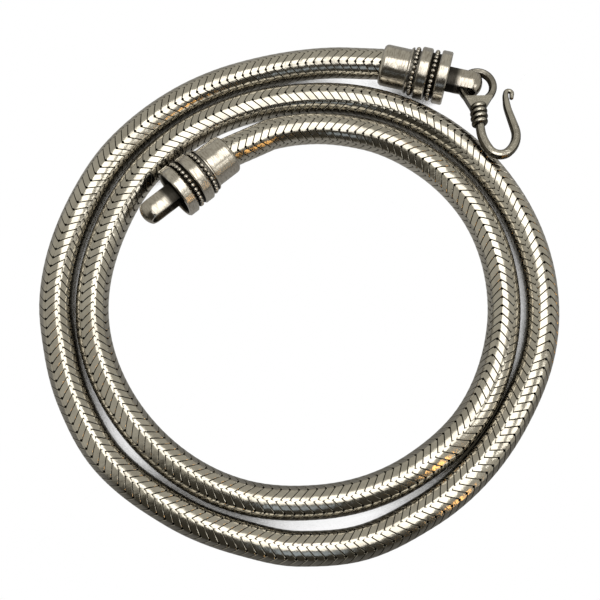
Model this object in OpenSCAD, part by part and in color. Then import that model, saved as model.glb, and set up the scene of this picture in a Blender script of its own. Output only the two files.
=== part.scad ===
// Snake chain necklace, lying on a table in a flat coil of a little over two turns, with its clasp undone.
// Millimetres, +Z up from the table. The origin is on the table, under the middle of the whole necklace.

/* [Chain] */
// Diameter of the woven chain
chain_d = 7.8; // [7.4:0.1:8.4]
// How far each end of the chain goes into its cap
chain_tuck = 8.6; // [6:0.2:8.6]

/* [End caps] */
// Length of a cap, from the chain's side to its open mouth
cap_len = 17.2; // [17:0.1:18]
// Plain sleeve that holds the chain
sleeve_d = 10.4; // [10:0.1:10.6]
// Length of the sleeve, up to the first ridge
sleeve_len = 6.9; // [6.8:0.1:7.2]
// Flat band between the two rows of beads
band_d = 13; // [12.8:0.1:13.2]
// Widest band, round the mouth
rim_d = 13.4; // [13.2:0.1:13.6]
// Thickness of the metal at the mouth
lip_t = 0.9; // [0.7:0.1:1.2]
// Beads in the row next to the sleeve
inner_beads = 27; // [18:1:28]
// Beads in the row next to the mouth
outer_beads = 29; // [18:1:30]
// Diameter of a bead
bead_d = 1.2; // [0.9:0.1:1.2]

/* [Strap loops] */
// Width of the domed strap
strap_w = 4.7; // [4:0.1:4.8]
// Thickness of the strap at the crown of its dome
strap_t = 1.2; // [1:0.1:1.3]
// Clear height inside a loop
loop_gap = 3.4; // [3.3:0.1:3.5]
// How far the hook's loop stands out past the mouth of its cap
hook_loop_out = 8.9; // [8.7:0.1:9]
// How far the loop that the hook goes into stands out past the mouth of its cap
catch_loop_out = 9.6; // [9:0.1:10]

/* [Hook] */
// Outer diameter of the hook's eye
eye_d = 9.8; // [9.6:0.1:10]
// Width of the eye's band across the ring
eye_band_w = 1.9; // [1.8:0.1:1.9]
// Height of the eye's band
eye_band_h = 2.8; // [2.4:0.1:2.9]
// Wire of the shank
shank_d = 2.3; // [2.1:0.1:2.5]
// Turns of wire bound round the shank
wraps = 4; // [3:1:4]
// Outer diameter of the binding
wrap_d = 4.4; // [4:0.1:4.6]

/* [Hidden] */
silver = [0.6, 0.58, 0.54];
dark_silver = [0.52, 0.5, 0.46];
$fn = 48;

// The route of the coil: [angle, radius] about coil_centre, from the hook's end to the plain end,
// anticlockwise seen from above. Between two rows the radius follows a smooth curve.
coil_centre = [0.25, -2.95];
coil_step = 30;
coil = [
    [60, 66.4], [90, 62.3], [120, 60.5], [150, 59.5], [180, 58.5], [210, 58],
    [240, 57], [270, 57.5], [300, 57], [330, 57], [360, 58], [390, 57.5],
    [420, 56.1], [450, 53.5], [480, 52], [510, 50.5], [540, 50], [570, 49],
    [600, 48], [630, 47.5], [660, 48], [690, 48.5], [720, 49], [750, 49],
    [780, 47.5], [810, 44.3], [840, 41.1]
];
first_ring_angle = 80;
last_ring_angle = 820;
ring_angle = 10;
chain_sides = 12;
chain_r = chain_d / 2;
lift_run = 36;           // the chain leaves the table this far before a cap

// Where each cap's sleeve takes the chain, about coil_centre, and the way its axis points, out of the mouth.
hook_cap_at = [20.8, 61.9];
hook_cap_heading = -15.2;
plain_cap_at = [-17.8, 37.4];
plain_cap_heading = 221;

// Stations along a cap, from the chain's side.
sleeve_round = 1.1;      // the sleeve's end is hammered in round the chain
bore_depth = 9;
bore_play = 0.15;
web_t = 1.4;
ridge_len = 0.6;
bead_channel = 2;
band_len = 2.7;
ridge_end = sleeve_len + ridge_len;
inner_channel_end = ridge_end + bead_channel;
band_end = inner_channel_end + band_len;
outer_channel_end = cap_len - 2.7;
ridge_r = 5.8;
channel_r = 5.3;
outer_channel_r = 5.6;
recess_r = 4.7;
mouth_r = rim_d / 2 - lip_t;
edge = 0.3;              // worn corners

// A cap lies on its two wide bands, and holds its sleeve clear of the table.
cap_tilt = atan((rim_d - band_d) / 2 / (outer_channel_end - inner_channel_end));
sleeve_z = band_d / 2 * cos(cap_tilt) - (inner_channel_end + edge) * sin(cap_tilt);

// Strap: a D-shaped section, its flat side inwards.
strap_edge_t = 0.5;
dome = strap_t - strap_edge_t;
dome_r = (pow(strap_w / 2, 2) + dome * dome) / (2 * dome);
loop_r = loop_gap / 2;

// Hook: in its own frame the eye is centred on the origin, and the shank runs along +X.
hook_at = [44.8, 55.05];
hook_z = 7;
hook_heading = -89;
hook_crank = 6.6;        // the shank climbs so that the bend clears the chain beneath it
eye_r = (eye_d - eye_band_w) / 2;
shank_shift = -0.3;      // the shank leaves the eye a little to one side
wrap_start = 6.2;
wrap_pitch = 1.45;
wrap_wire = 1.5;
wrap_slant = 10;
last_wrap_less = 0.3;
neck_h = 2;
bend_start = 12.4;
wire_sides = 14;
// Bend of the hook: [length, turn to the left, steps, wire at the end]
hook_bend = [
    [6.2, 31, 5, 2.4],
    [5.3, 99, 10, 2.4],
    [7.3, 62, 8, 2.3],
    [5.2, 0, 1, 2],
    [2, -10, 2, 1.9],
    [1.8, 0, 1, 1.6],
    [0.9, -12, 2, 1.5],
    [0.7, 0, 1, 1.3],
    [2.4, -180, 10, 1.2],
    [1.4, 0, 1, 1],
    [0.2, 0, 1, 0.6]
];

// Slope of the radius at row i, per row.
function coil_slope(i) = i == 0 ? coil[1][1] - coil[0][1]
    : i == len(coil) - 1 ? coil[i][1] - coil[i - 1][1]
    : (coil[i + 1][1] - coil[i - 1][1]) / 2;

function coil_radius(angle) =
    let (
        i = min(floor((angle - coil[0][0]) / coil_step), len(coil) - 2),
        t = (angle - coil[i][0]) / coil_step
    )
    coil[i][1] * (2 * t * t * t - 3 * t * t + 1) + coil_slope(i) * (t * t * t - 2 * t * t + t)
    + coil[i + 1][1] * (3 * t * t - 2 * t * t * t) + coil_slope(i + 1) * (t * t * t - t * t);

// How far a cap that takes the chain at cap_at lifts it at p.
function lift(p, cap_at) =
    let (u = min(norm(p - cap_at) / lift_run, 1))
    (sleeve_z - chain_r) * (1 - u) * (1 - u) * (1 + 2 * u);

function coil_point(angle) =
    let (
        p = coil_radius(angle) * [cos(angle), sin(angle)],
        up = angle < 180 ? lift(p, hook_cap_at) : angle > 720 ? lift(p, plain_cap_at) : 0
    )
    [coil_centre.x + p.x, coil_centre.y + p.y, chain_r + up];

// A point on a cap's axis, s from the chain's side of the sleeve.
function cap_point(at, heading, s) = [
    coil_centre.x + at.x + s * cos(cap_tilt) * cos(heading),
    coil_centre.y + at.y + s * cos(cap_tilt) * sin(heading),
    sleeve_z + s * sin(cap_tilt)
];

chain_route = concat(
    [for (s = [chain_tuck, 0]) cap_point(hook_cap_at, hook_cap_heading, s)],
    [for (angle = [first_ring_angle : ring_angle : last_ring_angle]) coil_point(angle)],
    [for (s = [0, chain_tuck]) cap_point(plain_cap_at, plain_cap_heading, s)]
);

// Points of the hook's bend, each [x, y, wire diameter], walked from p with the given heading.
function walk(p, heading, d, row = 0, k = 0) =
    row == len(hook_bend) ? [[p.x, p.y, d]] :
    let (
        b = hook_bend[row],
        turn = b[1] / b[2],
        next_p = p + b[0] / b[2] * [cos(heading + turn / 2), sin(heading + turn / 2)],
        next_d = d + (b[3] - d) / (b[2] - k),
        done = k + 1 == b[2]
    )
    concat([[p.x, p.y, d]], walk(next_p, heading + turn, next_d, done ? row + 1 : row, done ? 0 : k + 1));

// Direction along a path at point i, seen from above.
function along(path, i) =
    let (a = path[max(i - 1, 0)], b = path[min(i + 1, len(path) - 1)], d = [b.x - a.x, b.y - a.y])
    d / norm(d);

// A round tube along a nearly level path, with an upright ring of corners at each point.
module tube(path, radii, sides) {
    corners = [for (i = [0 : len(path) - 1], k = [0 : sides - 1])
        let (dir = along(path, i), a = 360 * k / sides)
        path[i] + radii[i] * [-dir.y * cos(a), dir.x * cos(a), sin(a)]];
    last = len(path) - 1;
    side_faces = [for (i = [0 : last - 1], k = [0 : sides - 1])
        let (m = (k + 1) % sides)
        [i * sides + k, (i + 1) * sides + k, (i + 1) * sides + m, i * sides + m]];
    first_face = [for (k = [0 : sides - 1]) k];
    last_face = [for (k = [sides - 1 : -1 : 0]) last * sides + k];
    polyhedron(corners, concat([first_face], side_faces, [last_face]));
}

// Stands a shape that was drawn along +Z on a cap's axis.
module on_cap_axis(at, heading) {
    translate(cap_point(at, heading, 0)) rotate([0, 90 - cap_tilt, heading]) children();
}

// Outline of a cap on one side of its axis: [radius, station].
module cap_outline() {
    bore_r = chain_r + bore_play;
    sleeve_r = sleeve_d / 2;
    band_r = band_d / 2;
    rim_r = rim_d / 2;
    polygon(concat(
        [[0, bore_depth], [bore_r, bore_depth], [bore_r, 0]],
        [for (a = [60, 40, 20, 0])
            [sleeve_r - sleeve_round + sleeve_round * cos(a), sleeve_round - sleeve_round * sin(a)]],
        [
            [sleeve_r, sleeve_len], [ridge_r - edge, sleeve_len], [ridge_r, sleeve_len + edge],
            [ridge_r, ridge_end], [channel_r, ridge_end], [channel_r, inner_channel_end],
            [band_r - edge, inner_channel_end], [band_r, inner_channel_end + edge],
            [band_r, band_end - edge], [band_r - edge, band_end],
            [outer_channel_r, band_end], [outer_channel_r, outer_channel_end],
            [rim_r - edge, outer_channel_end], [rim_r, outer_channel_end + edge],
            [rim_r, cap_len - edge], [rim_r - edge, cap_len], [mouth_r, cap_len],
            [recess_r, outer_channel_end], [recess_r, bore_depth + web_t], [0, bore_depth + web_t]
        ]
    ));
}

module bead_row(count, radius, station) {
    for (i = [0 : count - 1])
        rotate(360 * i / count) translate([radius, 0, station]) sphere(d = bead_d, $fn = 16);
}

// Section of the strap, its flat side at x = loop_r.
module strap_section() {
    intersection() {
        translate([loop_r, -strap_w / 2]) square([strap_t, strap_w]);
        translate([loop_r + strap_t - dome_r, 0]) circle(r = dome_r);
    }
}

// A strap bent double, its two legs soldered to the web inside the cap.
module strap_loop(out) {
    bend_at = cap_len + out - strap_t - loop_r;
    leg_len = bend_at - bore_depth - web_t / 2;
    translate([0, 0, bend_at]) {
        rotate([90, 0, 0]) rotate_extrude(angle = 180) strap_section();
        for (side = [0, 1])
            mirror([side, 0, 0]) translate([0, 0, -leg_len]) linear_extrude(leg_len) strap_section();
    }
}

// Sleeve, bands, rows of beads and loop, soldered into one piece.
module end_cap(loop_out) {
    color(silver) union() {
        rotate_extrude() cap_outline();
        bead_row(inner_beads, channel_r + 0.25, (ridge_end + inner_channel_end) / 2);
        bead_row(outer_beads, outer_channel_r + 0.25, (band_end + outer_channel_end) / 2);
        strap_loop(loop_out);
    }
}

module chain() {
    color(dark_silver) tube(chain_route, [for (p = chain_route) chain_r], chain_sides);
}

module hook_end_cap() {
    on_cap_axis(hook_cap_at, hook_cap_heading) end_cap(hook_loop_out);
}

module plain_end_cap() {
    on_cap_axis(plain_cap_at, plain_cap_heading) end_cap(catch_loop_out);
}

// Section of the eye's band, hammered to a ridge along its top and bottom.
module eye_section() {
    w = eye_band_w / 2;
    h = eye_band_h / 2;
    polygon([
        [-w, -0.3], [-w, 0.3], [-w * 0.5, h * 0.7], [w * 0.3, h], [w * 0.7, h * 0.8],
        [w, 0.5], [w, -0.5], [w * 0.7, -h * 0.8], [w * 0.3, -h], [-w * 0.5, -h * 0.7]
    ]);
}

// The eye's two sides run together into the binding.
module neck() {
    wrap_r = wrap_d / 2 - 0.2;
    translate([0, 0, -neck_h / 2]) linear_extrude(neck_h) polygon([
        [3.2, 3.6], [wrap_start, shank_shift + wrap_r],
        [wrap_start, shank_shift - wrap_r], [3.2, -3.6]
    ]);
}

module binding() {
    for (i = [0 : wraps - 1]) {
        d = wrap_d - (i == wraps - 1 ? last_wrap_less : 0);
        translate([wrap_start + i * wrap_pitch, 0, 0]) rotate([0, 90, wrap_slant])
            rotate_extrude() translate([(d - wrap_wire) / 2, 0]) circle(d = wrap_wire);
    }
}

// Eye, bound shank and open bend, one length of wire.
module hook() {
    bend = concat([[eye_r, 0, shank_d]], walk([bend_start, 0], 0, shank_d));
    color(silver)
        translate([coil_centre.x + hook_at.x, coil_centre.y + hook_at.y, hook_z])
        rotate(hook_heading) union() {
            rotate_extrude() translate([eye_r, 0]) eye_section();
            rotate([0, -hook_crank, 0]) {
                neck();
                translate([0, shank_shift, 0]) {
                    tube([for (p = bend) [p.x, p.y, 0]], [for (p = bend) p[2] / 2], wire_sides);
                    binding();
                }
            }
        }
}

chain();
hook_end_cap();
plain_end_cap();
hook();
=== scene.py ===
# Snake chain necklace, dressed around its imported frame. Metres, +Z up.
# The origin is on the table, under the middle of the whole necklace.
import math

import bmesh
import bpy
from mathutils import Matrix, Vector


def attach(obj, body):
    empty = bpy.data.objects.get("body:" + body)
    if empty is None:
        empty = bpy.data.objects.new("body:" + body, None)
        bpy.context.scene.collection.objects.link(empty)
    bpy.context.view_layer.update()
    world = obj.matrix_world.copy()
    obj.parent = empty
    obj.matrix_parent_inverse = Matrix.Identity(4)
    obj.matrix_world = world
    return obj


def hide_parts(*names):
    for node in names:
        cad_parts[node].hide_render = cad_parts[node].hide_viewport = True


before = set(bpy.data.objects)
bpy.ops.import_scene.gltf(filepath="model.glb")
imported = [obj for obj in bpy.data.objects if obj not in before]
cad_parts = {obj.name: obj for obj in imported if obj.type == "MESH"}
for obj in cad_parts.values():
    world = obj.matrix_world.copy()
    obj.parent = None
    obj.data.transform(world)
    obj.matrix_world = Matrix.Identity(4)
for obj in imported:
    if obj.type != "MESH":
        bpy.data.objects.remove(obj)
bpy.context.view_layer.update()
mm = 0.001
print("frame loaded")


# Small helpers for modelling

def selectNothing():
    if bpy.context.object and bpy.context.object.mode != "OBJECT":
        bpy.ops.object.mode_set(mode="OBJECT")
    bpy.ops.object.select_all(action="DESELECT")


def makeActive(piece):
    selectNothing()
    piece.select_set(True)
    bpy.context.view_layer.objects.active = piece


def finishPlace(piece):
    # the place goes into the mesh, so the object sits at the origin, unturned
    makeActive(piece)
    bpy.ops.object.transform_apply(location=True, rotation=True, scale=True)


def editMesh(piece, mode="VERT"):
    makeActive(piece)
    bpy.ops.object.mode_set(mode="EDIT")
    bpy.ops.mesh.select_mode(type=mode)


def pick(piece, test):
    # selects the vertices whose place passes the test, in edit mode
    shape = bmesh.from_edit_mesh(piece.data)
    for vert in shape.verts:
        vert.select = test(vert.co)
    shape.select_flush_mode()
    bmesh.update_edit_mesh(piece.data)


def nudge(piece, test, move):
    pick(piece, test)
    bpy.ops.transform.translate(value=move)


def cutAt(point, normal):
    bpy.ops.mesh.select_all(action="SELECT")
    bpy.ops.mesh.bisect(plane_co=point, plane_no=normal)


def near(a, b):
    return abs(a - b) < 1e-5


def addModifier(piece, kind, **settings):
    makeActive(piece)
    modifier = piece.modifiers.new(kind.lower(), kind)
    for name, value in settings.items():
        setattr(modifier, name, value)
    bpy.ops.object.modifier_apply(modifier=modifier.name)


# The camera stands over the coil, 15 degrees from the vertical towards the viewer

cameraPlace = {
    "tiltDegrees": 15,
    "place": (0.00025, -0.05842, 0.2112),
    "lens": 53.58,
    "sensor": 36,
}


def makeCamera():
    bpy.ops.object.camera_add(
        location=cameraPlace["place"],
        rotation=(math.radians(cameraPlace["tiltDegrees"]), 0, 0),
    )
    camera = bpy.context.object
    camera.name = "photoCamera"
    camera.data.lens = cameraPlace["lens"]
    camera.data.sensor_width = cameraPlace["sensor"]
    camera.data.clip_start = 0.01
    bpy.context.scene.camera = camera


makeCamera()
print("camera placed")


# Route of the chain, in millimetres, the same as in the part's source. It has a row every 30
# degrees from the hook's end: the radius about the centre, and where a ridge of the weave
# lies, in degrees from the coil's outer side over the top.
# The old chain also wanders a little off that curve: the bends list gives an angle, and how
# far outward the chain lies there.

route = {
    "centre": (0.25, -2.95),
    "rowStep": 30,
    "firstRow": 60,
    "rows": [
        (66.4, 112), (62.3, 112), (60.5, 110), (59.5, 94), (58.5, 66), (58, 60), (57, 48),
        (57.5, 53), (57, 57), (57, 62), (58, 75), (57.5, 82), (56.1, 76), (53.5, 84),
        (52, 91), (50.5, 73), (50, 64), (49, 54), (48, 51), (47.5, 48), (48, 47),
        (48.5, 38), (49, 18), (49, 20), (47.5, 22), (44.3, 28), (41.1, 34),
    ],
    "bends": [
        (140, 0), (155, -0.4), (180, 0.1), (192, -0.35), (205, -0.2), (220, 0.35),
        (240, -0.25), (257, -0.6), (270, 0), (284, 0.55), (300, 0), (330, -0.2), (350, 0.2),
        (390, 0.15), (430, 0), (465, -0.4), (500, 0), (522, -0.4), (550, 0), (575, -0.2),
        (615, 0.3), (635, 0), (665, 0), (684, 0.4), (710, 0), (740, -0.1), (772, -0.45),
        (790, -0.2), (805, 0),
    ],
    "firstAngle": 80,
    "lastAngle": 820,
    "chainR": 3.9,
    "tuck": 8.6,
    "liftRun": 36,
}
caps = {
    "hook_end_cap": {"at": (20.8, 61.9), "heading": -15.2, "loopOut": 8.9},
    "plain_end_cap": {"at": (-17.8, 37.4), "heading": 221, "loopOut": 9.6},
    "bandD": 13,
    "rimD": 13.4,
    "channelEnds": (9.5, 14.5),
    "edge": 0.3,
}
capTilt = math.atan(
    (caps["rimD"] - caps["bandD"]) / 2 / (caps["channelEnds"][1] - caps["channelEnds"][0])
)
sleeveZ = (caps["bandD"] / 2 * math.cos(capTilt)
           - (caps["channelEnds"][0] + caps["edge"]) * math.sin(capTilt))


def smoothRow(angle, column):
    # the same smooth curve through the rows as in the part's source
    rows = [row[column] for row in route["rows"]]
    place = (angle - route["firstRow"]) / route["rowStep"]
    i = min(max(int(place), 0), len(rows) - 2)
    t = place - i

    def slope(k):
        return (rows[min(k + 1, len(rows) - 1)] - rows[max(k - 1, 0)]) / (
            1 if k in (0, len(rows) - 1) else 2)

    return (rows[i] * (2 * t**3 - 3 * t**2 + 1) + slope(i) * (t**3 - 2 * t**2 + t)
            + rows[i + 1] * (3 * t**2 - 2 * t**3) + slope(i + 1) * (t**3 - t**2))


def lift(x, y, capName):
    # how far the cap lifts the chain at this place
    at = caps[capName]["at"]
    u = min(math.hypot(x - at[0], y - at[1]) / route["liftRun"], 1)
    return (sleeveZ - route["chainR"]) * (1 - u) ** 2 * (1 + 2 * u)


def bendAt(angle):
    for (first, start), (last, end) in zip(route["bends"], route["bends"][1:]):
        if first <= angle <= last:
            t = (angle - first) / (last - first)
            return start + (end - start) * (3 * t**2 - 2 * t**3)
    return 0


def coilPoint(angle):
    radius = smoothRow(angle, 0) + bendAt(angle)
    x = radius * math.cos(math.radians(angle))
    y = radius * math.sin(math.radians(angle))
    up = 0
    if angle < 180:
        up = lift(x, y, "hook_end_cap")
    elif angle > 720:
        up = lift(x, y, "plain_end_cap")
    return Vector((route["centre"][0] + x, route["centre"][1] + y, route["chainR"] + up)) * mm


def capPoint(capName, along):
    cap = caps[capName]
    heading = math.radians(cap["heading"])
    level = along * math.cos(capTilt)
    return Vector((
        route["centre"][0] + cap["at"][0] + level * math.cos(heading),
        route["centre"][1] + cap["at"][1] + level * math.sin(heading),
        sleeveZ + along * math.sin(capTilt),
    )) * mm


def chainPoints(step):
    # points and ridge angles from the hook's end to the plain end
    first, last = route["firstAngle"], route["lastAngle"]
    points = [(capPoint("hook_end_cap", route["tuck"]), first),
              (capPoint("hook_end_cap", 0), first)]
    for k in range(int((last - first) / step) + 1):
        angle = first + k * step
        points.append((coilPoint(angle), angle))
    points += [(capPoint("plain_end_cap", 0), last),
               (capPoint("plain_end_cap", route["tuck"]), last)]
    return [(point, smoothRow(angle, 1)) for point, angle in points]


def makeRouteCurve(name, step, thickness=0.0):
    points = chainPoints(step)
    curveData = bpy.data.curves.new(name, "CURVE")
    curveData.dimensions = "3D"
    curveData.twist_mode = "Z_UP"
    curveData.bevel_depth = thickness
    curveData.bevel_resolution = 3
    curveData.use_fill_caps = thickness > 0
    spline = curveData.splines.new("POLY")
    spline.points.add(len(points) - 1)
    for knot, (place, ridge) in zip(spline.points, points):
        knot.co = (*place, 1)
        knot.tilt = math.radians(90 - ridge)
    curve = bpy.data.objects.new(name, curveData)
    bpy.context.scene.collection.objects.link(curve)
    return curve


def lengthOf(curve):
    knots = [knot.co.to_3d() for knot in curve.data.splines[0].points]
    return sum((b - a).length for a, b in zip(knots, knots[1:]))


# One loop of the woven chain shows as a slanted tile. Eight tiles stand round the chain, in
# four chevrons that point along it, and the ring of eight repeats along the whole route.

weave = {
    "crownR": 3.9,
    "pitch": 2.11,           # from one ring of tiles to the next
    "lean": 39,              # degrees between a tile and the ring round the chain
    "gap": 0.11,             # between two tiles, measured along the chain
    "seam": 0.012,           # from a chevron's middle line to its tiles
    "depth": 0.75,
    # where a tile's shoulder starts, and how far it and the edge lie below the crown
    "shoulder": (0.86, 0.015, 0.13),
    # how far the far end's middle, shoulders and corners reach, so that the tips interleave
    "tipSteps": (0.25, -0.28, -0.56),
    "hollow": 0.03,          # how far the middle of a tile sinks below the round chain
    "cornerCut": 0.43,       # leaves the small dark pit at the point of a chevron
    "rows": (0.1, 0.3, 0.55, 0.8, 0.93),
    "endDrops": (0.015, 0.02),   # how far the near and far ends dip
    "smoothAngle": 26,       # keeps the crowns flush, as if burnished, up to a crisp shoulder
    "coreR": 3.34,
    "coreStep": 3,           # degrees between the core's knots
    "firstCell": 3.8,
    "lastCell": 2.4,
}


def markBelowCrown(tile):
    # each vertex keeps how deep it lies below the crown, and the colour darkens there
    belowCrown = tile.data.attributes.new("belowCrown", "FLOAT", "POINT")
    full = weave["shoulder"][2] * mm
    for vert, mark in zip(tile.data.vertices, belowCrown.data):
        mark.value = min(max(-vert.co.z / full, 0), 1)


def makeTile():
    # flat first, with X along the chain, Y round it and Z outwards: one arm of a chevron,
    # whose point is at Y = 0
    half = (weave["pitch"] - weave["gap"]) / 2 * mm
    column = math.pi * weave["crownR"] / 4 * mm
    depth = weave["depth"] * mm
    middle, side, corner = weave["tipSteps"]
    slope = math.tan(math.radians(weave["lean"]))
    shoulder, shoulderDrop, edgeDrop = weave["shoulder"]
    start = weave["seam"] * mm
    bpy.ops.mesh.primitive_cube_add(size=1, location=(0, (start + column) / 2, -depth / 2))
    tile = bpy.context.object
    tile.scale = (2 * half, column - start, depth)
    finishPlace(tile)
    editMesh(tile)
    for across in (-shoulder, 0, shoulder):
        cutAt((across * half, 0, 0), (1, 0, 0))
    rows = [start + share * (column - start) for share in weave["rows"]]
    for row in rows:
        cutAt((0, row, 0), (0, 1, 0))
    nudge(tile, lambda co: near(co.z, 0) and near(abs(co.x), half), (0, 0, -edgeDrop * mm))
    nudge(tile, lambda co: near(co.z, 0) and near(abs(co.x), half * shoulder),
          (0, 0, -shoulderDrop * mm))
    for end, drop in zip((start, column), weave["endDrops"]):
        nudge(tile, lambda co: co.z > -depth / 2 and near(co.y, end), (0, 0, -drop * mm))
    # the far end is rounded to a tip, and the near end loses its forward corner
    nudge(tile, lambda co: near(co.y, column) and near(co.x, 0), (0, middle * mm, 0))
    nudge(tile, lambda co: near(co.y, column) and near(abs(co.x), half * shoulder),
          (0, side * mm, 0))
    nudge(tile, lambda co: near(co.y, column) and near(abs(co.x), half), (0, corner * mm, 0))
    nudge(tile, lambda co: near(co.y, start) and co.x > half / 2,
          (-weave["cornerCut"] * mm, 0, 0))
    bpy.ops.object.mode_set(mode="OBJECT")
    markBelowCrown(tile)
    levels = sorted({round(vert.co.y, 7) for vert in tile.data.vertices})
    editMesh(tile)
    for level in levels:
        # each crosswise row slides back, which gives the tile its slant, and sinks a little
        share = min(max(level / column, 0), 1)
        sink = weave["hollow"] * mm * 4 * share * (1 - share)
        nudge(tile, lambda co: near(co.y, level), (-level * slope, 0, -sink))
    bpy.ops.object.mode_set(mode="OBJECT")
    return tile


def makeRing():
    tile = makeTile()
    editMesh(tile, "FACE")
    bpy.ops.mesh.select_all(action="DESELECT")
    shape = bmesh.from_edit_mesh(tile.data)
    for face in shape.faces:
        face.select = face.normal.z < -0.9
    bmesh.update_edit_mesh(tile.data)
    bpy.ops.mesh.dissolve_faces()
    bpy.ops.object.mode_set(mode="OBJECT")
    addModifier(tile, "MIRROR", use_axis=(False, True, False), use_mirror_merge=False)
    # stood up so that Y runs round the chain, then bent to the chain's own curve
    tile.rotation_euler = (math.radians(90), 0, 0)
    finishPlace(tile)
    reach = max(vert.co.z for vert in tile.data.vertices)
    addModifier(tile, "SIMPLE_DEFORM", deform_method="BEND", deform_axis="X",
                angle=2 * reach / (weave["crownR"] * mm))
    editMesh(tile)
    nudge(tile, lambda co: True, (0, -weave["crownR"] * mm, 0))
    bpy.ops.object.mode_set(mode="OBJECT")
    quarters = [tile]
    for quarter in range(1, 4):
        makeActive(tile)
        bpy.ops.object.duplicate()
        copy = bpy.context.object
        copy.rotation_euler = (math.radians(90 * quarter), 0, 0)
        copy.location = (quarter % 2 * weave["pitch"] / 2 * mm, 0, 0)
        finishPlace(copy)
        quarters.append(copy)
    makeActive(tile)
    for copy in quarters:
        copy.select_set(True)
    bpy.ops.object.join()
    # the first chevron's point is turned to the top
    tile.rotation_euler = (math.radians(-90), 0, 0)
    finishPlace(tile)
    return tile


def makeWeave(ring, curve, name, firstCell, cells, material):
    makeActive(ring)
    bpy.ops.object.duplicate()
    piece = bpy.context.object
    piece.name = name
    piece.location = (firstCell, 0, 0)
    finishPlace(piece)
    addModifier(piece, "ARRAY", count=cells, use_relative_offset=False,
                use_constant_offset=True, constant_offset_displace=(weave["pitch"] * mm, 0, 0))
    addModifier(piece, "CURVE", object=curve, deform_axis="POS_X")
    makeActive(piece)
    bpy.ops.object.shade_smooth_by_angle(angle=math.radians(weave["smoothAngle"]))
    piece.data.materials.clear()
    piece.data.materials.append(material)
    return piece


# Shader groups that more than one metal uses

def newGroup(name, inputs, outputs):
    group = bpy.data.node_groups.new(name, "ShaderNodeTree")
    for label, kind, value in inputs:
        socket = group.interface.new_socket(label, in_out="INPUT", socket_type=kind)
        if value is not None:
            socket.default_value = value
    for label, kind in outputs:
        group.interface.new_socket(label, in_out="OUTPUT", socket_type=kind)
    nodes = group.nodes
    return group, nodes, group.links, nodes.new("NodeGroupInput"), nodes.new("NodeGroupOutput")


def mathNode(nodes, links, operation, *values, clamp=False):
    node = nodes.new("ShaderNodeMath")
    node.operation = operation
    node.use_clamp = clamp
    for socket, value in zip(node.inputs, values):
        if isinstance(value, (int, float)):
            socket.default_value = value
        else:
            links.new(value, socket)
    return node.outputs[0]


def sumProducts(nodes, links, *pairs, clamp=False):
    # multiplies each pair and adds them up
    total = None
    for value, factor in pairs:
        part = value if factor == 1 else mathNode(nodes, links, "MULTIPLY", value, factor)
        total = part if total is None else mathNode(nodes, links, "ADD", total, part, clamp=clamp)
    return total


def product(nodes, links, *values):
    total = values[0]
    for value in values[1:]:
        total = mathNode(nodes, links, "MULTIPLY", total, value)
    return total


def largest(nodes, links, *values):
    top = values[0]
    for value in values[1:]:
        top = mathNode(nodes, links, "MAXIMUM", top, value)
    return top


def ramp(nodes, links, value, low, high):
    node = nodes.new("ShaderNodeMapRange")
    node.interpolation_type = "SMOOTHSTEP"
    links.new(value, node.inputs["Value"])
    node.inputs["From Min"].default_value = low
    node.inputs["From Max"].default_value = high
    return node.outputs["Result"]


def mixColour(nodes, links, share, first, second):
    node = nodes.new("ShaderNodeMix")
    node.data_type = "RGBA"
    sockets = [node.inputs[0], node.inputs[6], node.inputs[7]]
    for socket, value in zip(sockets, (share, first, second)):
        if isinstance(value, tuple):
            socket.default_value = (*value, 1)
        else:
            links.new(value, socket)
    return node.outputs[2]


def noiseNode(nodes, links, vector, scale, detail=3.0, roughness=0.5):
    node = nodes.new("ShaderNodeTexNoise")
    node.inputs["Scale"].default_value = scale
    node.inputs["Detail"].default_value = detail
    node.inputs["Roughness"].default_value = roughness
    links.new(vector, node.inputs["Vector"])
    return node.outputs["Fac"]


def openness(nodes, reach, samples):
    hollow = nodes.new("ShaderNodeAmbientOcclusion")
    hollow.samples = samples
    hollow.inputs["Distance"].default_value = reach
    return hollow.outputs["AO"]


def hollowShade(nodes, links, reach, start, end):
    # how deep a place lies in a corner or a groove
    return ramp(nodes, links, openness(nodes, reach, 8), start, end)


patterns = {
    "cloudScales": (90, 900),        # of the large clouds of tarnish, and of the finer ones
    "cloudShares": (0.6, 0.4),
    "cloudEdge": (0.38, 0.66),
    "brushScale": 2600,
}


def makeTarnishGroup():
    # patches of grey-brown tarnish, larger clouds broken up by finer ones
    group, nodes, links, given, result = newGroup(
        "tarnishClouds",
        [("Vector", "NodeSocketVector", None), ("Amount", "NodeSocketFloat", 0.5)],
        [("Mask", "NodeSocketFloat")],
    )
    largeScale, fineScale = patterns["cloudScales"]
    large = noiseNode(nodes, links, given.outputs["Vector"], largeScale, 3)
    fine = noiseNode(nodes, links, given.outputs["Vector"], fineScale, 4, 0.65)
    largeShare, fineShare = patterns["cloudShares"]
    both = sumProducts(nodes, links, (large, largeShare), (fine, fineShare))
    shade = ramp(nodes, links, both, *patterns["cloudEdge"])
    links.new(mathNode(nodes, links, "MULTIPLY", shade, given.outputs["Amount"]),
              result.inputs["Mask"])
    return group


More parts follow.
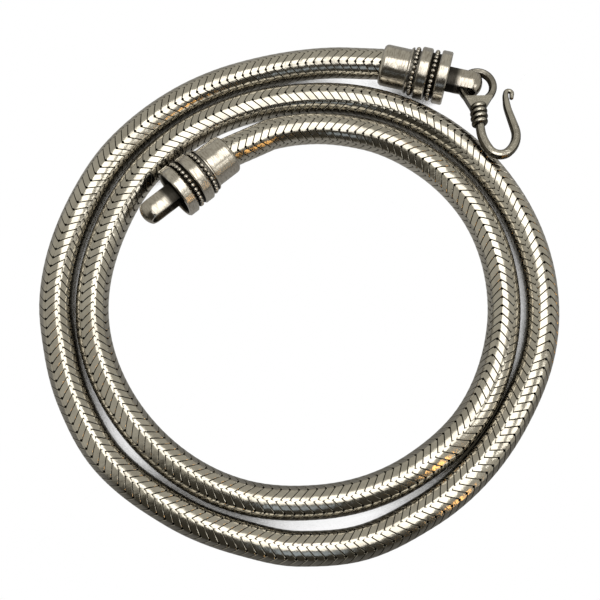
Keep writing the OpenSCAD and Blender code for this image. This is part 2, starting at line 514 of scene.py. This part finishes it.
def makeBrushGroup():
    # fine marks drawn out along X of the vector that comes in
    group, nodes, links, given, result = newGroup(
        "brushMarks",
        [("Vector", "NodeSocketVector", None), ("Stretch", "NodeSocketFloat", 8.0)],
        [("Height", "NodeSocketFloat")],
    )
    parts = nodes.new("ShaderNodeSeparateXYZ")
    links.new(given.outputs["Vector"], parts.inputs[0])
    joined = nodes.new("ShaderNodeCombineXYZ")
    links.new(mathNode(nodes, links, "DIVIDE", parts.outputs[0], given.outputs["Stretch"]),
              joined.inputs[0])
    links.new(parts.outputs[1], joined.inputs[1])
    links.new(parts.outputs[2], joined.inputs[2])
    links.new(noiseNode(nodes, links, joined.outputs[0], patterns["brushScale"], 3, 0.6),
              result.inputs["Height"])
    return group


tarnishClouds = makeTarnishGroup()
brushMarks = makeBrushGroup()


def newMaterial(name):
    material = bpy.data.materials.new(name)
    material.use_nodes = True
    nodes, links = material.node_tree.nodes, material.node_tree.links
    surface = nodes["Principled BSDF"]
    place = nodes.new("ShaderNodeTexCoord").outputs["Object"]
    return material, nodes, links, surface, place


def useGroup(nodes, links, group, vector, **values):
    node = nodes.new("ShaderNodeGroup")
    node.node_tree = group
    links.new(vector, node.inputs["Vector"])
    for label, value in values.items():
        node.inputs[label].default_value = value
    return node.outputs[0]


def finishMetal(nodes, links, surface, colour, *roughness):
    # the roughness is given as pairs to multiply and add up
    links.new(colour, surface.inputs["Base Color"])
    surface.inputs["Metallic"].default_value = 1
    links.new(sumProducts(nodes, links, *roughness), surface.inputs["Roughness"])


def bump(nodes, links, surface, height, strength, distance):
    node = nodes.new("ShaderNodeBump")
    node.inputs["Strength"].default_value = strength
    node.inputs["Distance"].default_value = distance
    links.new(height, node.inputs["Height"])
    links.new(node.outputs["Normal"], surface.inputs["Normal"])


wovenSilver = {
    "bright": (0.56, 0.535, 0.48),
    "dull": (0.40, 0.375, 0.33),
    # the dark the tiles go to at their sunk edges, and the colour of the painted shade in the slots
    "shadeAndTarnish": (0.030, 0.026, 0.018),
    "clouds": 0.8,
    "dulling": (0.7, 0.4),       # by the clouds, and from tile to tile
    "roughness": 0.14,
    "roughening": (0.09, 0.25),  # by the clouds, and where it darkens
    # how far down a tile's shoulder the darkening starts and is full
    "shoulderDarkening": (0.25, 0.95),
    # painted shade, with tarnish, in the slots between turns and by the floor: reach, and how open
    # a place is where it starts and is full
    "slotShade": (0.003, 0.2, 0.06),
    "smallDents": 1600,
    "largeDents": (420, 2.5),    # scale, and how much deeper they are than the small ones
    "bump": (0.4, 0.00007),      # strength and depth
}


def makeWovenMaterial():
    material, nodes, links, surface, place = newMaterial("wovenSilver")
    mark = nodes.new("ShaderNodeAttribute")
    mark.attribute_name = "belowCrown"
    clouds = useGroup(nodes, links, tarnishClouds, place, Amount=wovenSilver["clouds"])
    tileShade = nodes.new("ShaderNodeNewGeometry").outputs["Random Per Island"]
    cloudDull, tileDull = wovenSilver["dulling"]
    dullShare = sumProducts(nodes, links, (clouds, cloudDull), (tileShade, tileDull))
    metal = mixColour(nodes, links, dullShare, wovenSilver["bright"], wovenSilver["dull"])
    # the tiles darken towards their sunk edges, and painted shade, with tarnish, darkens the slots
    # between turns and the flanks by the floor
    deep = largest(nodes, links,
                   ramp(nodes, links, mark.outputs["Fac"], *wovenSilver["shoulderDarkening"]),
                   hollowShade(nodes, links, *wovenSilver["slotShade"]))
    cloudRough, deepRough = wovenSilver["roughening"]
    finishMetal(nodes, links, surface,
                mixColour(nodes, links, deep, metal, wovenSilver["shadeAndTarnish"]),
                (clouds, cloudRough), (deep, deepRough), (wovenSilver["roughness"], 1))
    largeScale, largeDepth = wovenSilver["largeDents"]
    small = noiseNode(nodes, links, place, wovenSilver["smallDents"], 3)
    large = noiseNode(nodes, links, place, largeScale, 1)
    bump(nodes, links, surface, sumProducts(nodes, links, (small, 1), (large, largeDepth)),
         *wovenSilver["bump"])
    return material


gapTarnish = {
    "black": (0.012, 0.010, 0.007),
    "brown": (0.035, 0.030, 0.018),
    "metallic": 0.6,
    "roughness": 0.7,
}


def makeCoreMaterial():
    # the tarnished wire under the tiles, almost black in the gaps
    material, nodes, links, surface, place = newMaterial("gapTarnish")
    clouds = useGroup(nodes, links, tarnishClouds, place, Amount=1.0)
    links.new(mixColour(nodes, links, clouds, gapTarnish["black"], gapTarnish["brown"]),
              surface.inputs["Base Color"])
    surface.inputs["Metallic"].default_value = gapTarnish["metallic"]
    surface.inputs["Roughness"].default_value = gapTarnish["roughness"]
    return material


def makeChain():
    curve = makeRouteCurve("chainRoute", 1)
    ring = makeRing()
    material = makeWovenMaterial()
    cells = int((lengthOf(curve) / mm - weave["firstCell"] - weave["lastCell"]) / weave["pitch"])
    outer = cells // 2
    pieces = [
        makeWeave(ring, curve, "weave_outer_turn", weave["firstCell"] * mm, outer, material),
        makeWeave(ring, curve, "weave_inner_turn",
                  (weave["firstCell"] + outer * weave["pitch"]) * mm, cells - outer, material),
    ]
    core = makeRouteCurve("weave_core", weave["coreStep"], weave["coreR"] * mm)
    makeActive(core)
    bpy.ops.object.convert(target="MESH")
    core = bpy.context.object
    core.data.materials.clear()
    core.data.materials.append(makeCoreMaterial())
    pieces.append(core)
    for piece in pieces:
        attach(piece, "necklace")
        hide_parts("chain")
    bpy.data.objects.remove(ring)
    bpy.data.objects.remove(curve)
    print("chain woven:", cells, "rings of tiles,",
          sum(len(piece.data.polygons) for piece in pieces), "faces")


makeChain()


# End caps and hook keep their solids and get worn silver, with painted shade in their recesses, a
# painted warm reflection under the caps and a painted sheen on the hook. Each cap's finish is laid
# out in its own frame, in millimetres: the station along it from the chain's side, and the radius.

capSilver = {
    "bright": (0.60, 0.57, 0.52),
    "dull": (0.34, 0.31, 0.27),
    # brown: the painted warm reflection under the cap
    "brown": (0.20, 0.135, 0.075),
    # the colour of the painted shade in the recesses and on the strap's root
    "shadeAndTarnish": (0.014, 0.012, 0.009),
    "clouds": 0.75,
    "dulling": 0.7,                  # by the clouds
    "brushDull": (0.42, 0.75),       # between these heights of the brush marks
    "roughness": 0.13,
    "roughening": (0.12, 0.35),      # where it is dull, and in the painted shade
    # each bead channel, with painted shade below the worn bead tops: from, to, worn bright above
    # this radius, how dark
    "channels": ((7.4, 9.6, 5.95, 0.55), (12.1, 14.6, 6.3, 1.0)),
    "channelEdge": 0.3,
    "mouth": (14.6, 17.3),           # from, to
    "mouthRadius": (5.9, 5.55),      # bright from here outwards, and black with painted shade inside this
    "root": (20.7, 19.0),            # the strap is bright from here on, and black with painted shadow up to here
    "strapRadius": (5.8, 5.2),
    "rootShare": 0.92,
    "corner": (0.0016, 0.7, 0.3),    # painted shade in corners: reach, and how open the metal is where it starts to darken
    "under": (1.5, -4.5),            # the painted warm reflection starts and is full at these heights off the axis
    "reflectionShare": 0.6,
    "markScale": 4.5,
    "markStretch": 0.16,
    "markDepth": 0.25,
    "dents": (260, 2.2),             # scale and depth
    "bump": (0.5, 0.00016),
}
hookSilver = {
    "bright": (0.56, 0.53, 0.47),
    # dull: also the painted dark of the wire's sides
    "dull": (0.085, 0.077, 0.062),
    # the colour of the painted shade in the corners
    "shadeAndTarnish": (0.014, 0.012, 0.009),
    "clouds": 1.0,
    "dulling": 0.45,                 # by the clouds
    "side": (0.99, 0.6),             # how level the wire is where its painted sheen is bright and where its sides are painted dark
    "roughness": 0.16,
    "roughening": (0.16, 0.3),       # by the clouds, and in the painted shade of its corners
    # painted shade in corners and grooves: reach, and how open the metal is where it starts to
    # darken
    "corner": (0.0026, 0.8, 0.35),
    "brushStretch": 3,
    "hammerMarks": (520, 2.5),       # scale and depth
    "bump": (0.5, 0.00012),
}


def makeBandGroup():
    # one where the value lies between the two ends, which are soft
    group, nodes, links, given, result = newGroup(
        "between",
        [("Value", "NodeSocketFloat", 0.0), ("From", "NodeSocketFloat", 0.0),
         ("To", "NodeSocketFloat", 1.0), ("Soft", "NodeSocketFloat", 0.15)],
        [("Mask", "NodeSocketFloat")],
    )
    edges = []
    for name, sign in (("From", 1), ("To", -1)):
        away = mathNode(nodes, links, "SUBTRACT", given.outputs["Value"], given.outputs[name])
        edges.append(mathNode(nodes, links, "ADD", 0.5, mathNode(
            nodes, links, "DIVIDE", mathNode(nodes, links, "MULTIPLY", away, sign),
            given.outputs["Soft"]), clamp=True))
    links.new(mathNode(nodes, links, "MULTIPLY", *edges), result.inputs["Mask"])
    return group


between = makeBandGroup()


def betweenMask(nodes, links, value, first, last, soft=0.15):
    node = nodes.new("ShaderNodeGroup")
    node.node_tree = between
    links.new(value, node.inputs["Value"])
    for label, number in (("From", first), ("To", last), ("Soft", soft)):
        node.inputs[label].default_value = number
    return node.outputs[0]


def makeCapMaterial(capName):
    material, nodes, links, surface, place = newMaterial(capName + "Silver")
    frameNode = nodes.new("ShaderNodeMapping")
    frameNode.vector_type = "TEXTURE"
    frameNode.inputs["Location"].default_value = capPoint(capName, 0)
    heading = math.radians(caps[capName]["heading"])
    frameNode.inputs["Rotation"].default_value = (0, -capTilt, heading)
    frameNode.inputs["Scale"].default_value = (mm, mm, mm)
    links.new(place, frameNode.inputs["Vector"])
    parts = nodes.new("ShaderNodeSeparateXYZ")
    links.new(frameNode.outputs[0], parts.inputs[0])
    station, across, up = parts.outputs
    radius = mathNode(nodes, links, "SQRT",
                      sumProducts(nodes, links, (across, across), (up, up)))
    # brushed round the cap, so the marks are long across it and short along it
    turned = nodes.new("ShaderNodeCombineXYZ")
    stretch = capSilver["markStretch"]
    links.new(mathNode(nodes, links, "MULTIPLY", across, stretch), turned.inputs[0])
    links.new(mathNode(nodes, links, "MULTIPLY", up, stretch), turned.inputs[1])
    links.new(station, turned.inputs[2])
    marks = noiseNode(nodes, links, turned.outputs[0], capSilver["markScale"], 4, 0.65)
    clouds = useGroup(nodes, links, tarnishClouds, place, Amount=capSilver["clouds"])
    dullShare = sumProducts(nodes, links, (clouds, capSilver["dulling"]),
                       (ramp(nodes, links, marks, *capSilver["brushDull"]), 1), clamp=True)
    colour = mixColour(nodes, links, dullShare, capSilver["bright"], capSilver["dull"])
    # a painted warm reflection on the cap's underside, patchy with the tarnish clouds
    low = product(nodes, links, ramp(nodes, links, up, *capSilver["under"]),
                  capSilver["reflectionShare"], clouds)
    colour = mixColour(nodes, links, low, colour, capSilver["brown"])
    # painted shade darkens the corners, the bead channels below the worn bead tops and the mouth,
    # and a painted shadow lies on the strap's root
    darkPlaces = [hollowShade(nodes, links, *capSilver["corner"])]
    for first, last, worn, share in capSilver["channels"]:
        darkPlaces.append(product(
            nodes, links, ramp(nodes, links, radius, worn, worn - capSilver["channelEdge"]), share,
            betweenMask(nodes, links, station, first, last)))
    first, last = capSilver["mouth"]
    darkPlaces.append(product(
        nodes, links, betweenMask(nodes, links, station, first, last, 0.3),
        ramp(nodes, links, radius, *capSilver["mouthRadius"])))
    # painted shadow: the strap comes black out of the mouth, and brightens on its way to its bend
    darkPlaces.append(product(
        nodes, links, ramp(nodes, links, radius, *capSilver["strapRadius"]),
        ramp(nodes, links, station, *capSilver["root"]), capSilver["rootShare"],
        ramp(nodes, links, station, first, last)))
    dark = largest(nodes, links, *darkPlaces)
    dullRough, darkRough = capSilver["roughening"]
    finishMetal(nodes, links, surface,
                mixColour(nodes, links, dark, colour, capSilver["shadeAndTarnish"]),
                (dullShare, dullRough), (dark, darkRough), (capSilver["roughness"], 1))
    dentScale, dentDepth = capSilver["dents"]
    dents = noiseNode(nodes, links, place, dentScale, 1)
    bump(nodes, links, surface,
         sumProducts(nodes, links, (dents, dentDepth), (marks, capSilver["markDepth"])),
         *capSilver["bump"])
    return material


def makeHookMaterial():
    material, nodes, links, surface, place = newMaterial("hookSilver")
    clouds = useGroup(nodes, links, tarnishClouds, place, Amount=hookSilver["clouds"])
    # painted sheen: bright on top and dark down its sides, where the wire would mirror the dark
    # room; the tarnish clouds dull it as well
    facing = nodes.new("ShaderNodeSeparateXYZ")
    links.new(nodes.new("ShaderNodeNewGeometry").outputs["Normal"], facing.inputs[0])
    side = ramp(nodes, links, facing.outputs[2], *hookSilver["side"])
    dullShare = sumProducts(nodes, links, (clouds, hookSilver["dulling"]), (side, 1), clamp=True)
    colour = mixColour(nodes, links, dullShare, hookSilver["bright"], hookSilver["dull"])
    # painted shade in the corners and grooves
    dark = hollowShade(nodes, links, *hookSilver["corner"])
    cloudRough, darkRough = hookSilver["roughening"]
    finishMetal(nodes, links, surface,
                mixColour(nodes, links, dark, colour, hookSilver["shadeAndTarnish"]),
                (clouds, cloudRough), (dark, darkRough), (hookSilver["roughness"], 1))
    brushed = useGroup(nodes, links, brushMarks, place, Stretch=hookSilver["brushStretch"])
    hammerScale, hammerDepth = hookSilver["hammerMarks"]
    hammered = noiseNode(nodes, links, place, hammerScale, 1)
    bump(nodes, links, surface,
         sumProducts(nodes, links, (hammered, hammerDepth), (brushed, 1)), *hookSilver["bump"])
    return material


def dressFrame():
    metals = {name: makeCapMaterial(name) for name in ("hook_end_cap", "plain_end_cap")}
    metals["hook"] = makeHookMaterial()
    for name, metal in metals.items():
        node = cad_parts[name]
        node.data.materials.clear()
        node.data.materials.append(metal)


dressFrame()
print("caps and hook dressed")


# A plain pale floor and soft studio light

studio = {
    "floorSize": 4,
    "floorGlow": (0.96, 0.94, 0.88),
    "floorFront": 0.13,      # the floor glows in place of being lit: how bright the metal sees the floor before the coil, and behind it
    "floorBack": 0.42,
    "floorTurn": (-0.11, 0.04),  # it turns from the one to the other between these depths
    "slotReach": 0.006,
    "slotSamples": 24,
    "slotWhite": (0.17, 0.23),   # painted shadow: how open the floor is where the camera sees it dark, and white
    "slotGlow": (0.02, 0.36),    # and where the metal sees the painted shadow dark, and the floor at its full glow
    # the colour of the painted shadow in the slots
    "slotShadow": (0.03, 0.026, 0.018),
    "roomFront": (0.055, 0.050, 0.038),
    "roomBack": (0.56, 0.54, 0.47),
    "roomTurn": (-0.6, -0.3),    # the room darkens towards the viewer,
    "roomSide": 0.25,            # less so at its sides,
    "roomLean": 0.1,             # and at the right less than at the left
    "panelPlace": (0.045, 0.0025, 0.30),
    "panelSize": (0.31, 0.205),
    "panelGlow": 2.3,
    "panelColour": (1, 0.98, 0.92),
    "sidePlace": (0.27, -0.07, 0.22),
    "sideSize": (0.10, 0.14),
    "sideGlow": 2.4,
    "sideColour": (1, 0.98, 0.92),
    "cardPlace": (0, -0.124, 0.106),
    "cardSize": (0.045, 0.045),
    "cardGlow": 0.6,
    "cardColour": (0.75, 0.88, 1),
    "warmPlace": (0.179, -0.179, 0.09),
    "warmSize": (0.014, 0.13),
    "warmGlow": 5.5,
    "warmColour": (1, 0.52, 0.13),
}


def makeFloor():
    # the floor glows in place of being lit: white to the camera and dimmer to the metal, with a
    # painted shadow dark in the slots between the turns
    selectNothing()
    bpy.ops.mesh.primitive_plane_add(size=studio["floorSize"], location=(0, 0, 0))
    floor = bpy.context.object
    floor.name = "paleFloor"
    material = bpy.data.materials.new("paleFloor")
    material.use_nodes = True
    nodes, links = material.node_tree.nodes, material.node_tree.links
    nodes.clear()
    place = nodes.new("ShaderNodeTexCoord").outputs["Object"]
    parts = nodes.new("ShaderNodeSeparateXYZ")
    links.new(place, parts.inputs[0])
    back = ramp(nodes, links, parts.outputs[1], *studio["floorTurn"])
    glow = nodes.new("ShaderNodeEmission")
    glow.inputs["Color"].default_value = (*studio["floorGlow"], 1)
    openFloor = openness(nodes, studio["slotReach"], studio["slotSamples"])
    rise = studio["floorBack"] - studio["floorFront"]
    level = sumProducts(nodes, links, (back, rise), (studio["floorFront"], 1))
    links.new(product(nodes, links, level, ramp(nodes, links, openFloor, *studio["slotGlow"])),
              glow.inputs["Strength"])
    white = nodes.new("ShaderNodeEmission")
    links.new(mixColour(nodes, links, ramp(nodes, links, openFloor, *studio["slotWhite"]),
                        studio["slotShadow"], (1, 1, 1)), white.inputs["Color"])
    seen = nodes.new("ShaderNodeLightPath")
    choice = nodes.new("ShaderNodeMixShader")
    links.new(seen.outputs["Is Camera Ray"], choice.inputs[0])
    links.new(glow.outputs[0], choice.inputs[1])
    links.new(white.outputs[0], choice.inputs[2])
    output = nodes.new("ShaderNodeOutputMaterial")
    links.new(choice.outputs[0], output.inputs["Surface"])
    floor.data.materials.append(material)


def makeRoom():
    # a grey room, dark on the viewer's side, and white where the camera sees it
    world = bpy.data.worlds.new("paleRoom")
    world.use_nodes = True
    bpy.context.scene.world = world
    nodes, links = world.node_tree.nodes, world.node_tree.links
    parts = nodes.new("ShaderNodeSeparateXYZ")
    links.new(nodes.new("ShaderNodeTexCoord").outputs["Generated"], parts.inputs[0])
    x, y, z = parts.outputs
    aside = sumProducts(nodes, links,
                        (mathNode(nodes, links, "ABSOLUTE", x), studio["roomSide"]),
                        (x, studio["roomLean"]))
    # how level the direction is, a little over 1 so that it is never 0 overhead
    level = mathNode(nodes, links, "SQRT", mathNode(
        nodes, links, "SUBTRACT", 1.01, product(nodes, links, z, z)))
    away = mathNode(nodes, links, "DIVIDE", mathNode(nodes, links, "ADD", y, aside), level)
    colour = mixColour(nodes, links, ramp(nodes, links, away, *studio["roomTurn"]),
                       studio["roomFront"], studio["roomBack"])
    seen = nodes.new("ShaderNodeLightPath")
    colour = mixColour(nodes, links, seen.outputs["Is Camera Ray"], colour, (1, 1, 1))
    links.new(colour, nodes["Background"].inputs["Color"])


def makeLamp(name, aim):
    # an area light that faces the aim; its glow is what a mirror would see of it
    place, size = Vector(studio[name + "Place"]), studio[name + "Size"]
    bpy.ops.object.light_add(type="AREA", location=place)
    light = bpy.context.object
    light.name = name + "Light"
    light.rotation_euler = (Vector(aim) - place).to_track_quat("-Z", "Y").to_euler()
    light.data.shape = "RECTANGLE"
    light.data.size, light.data.size_y = size
    light.data.energy = studio[name + "Glow"] * math.pi * size[0] * size[1]
    light.data.color = studio[name + "Colour"]
    light.visible_camera = False


makeFloor()
makeRoom()
makeLamp("panel", (0, studio["panelPlace"][1], 0))
makeLamp("side", (0, 0, 0))
makeLamp("card", (0, 0, 0))
makeLamp("warm", (0, 0, 0))
bpy.context.scene.view_settings.view_transform = "Standard"
print("floor and light set")
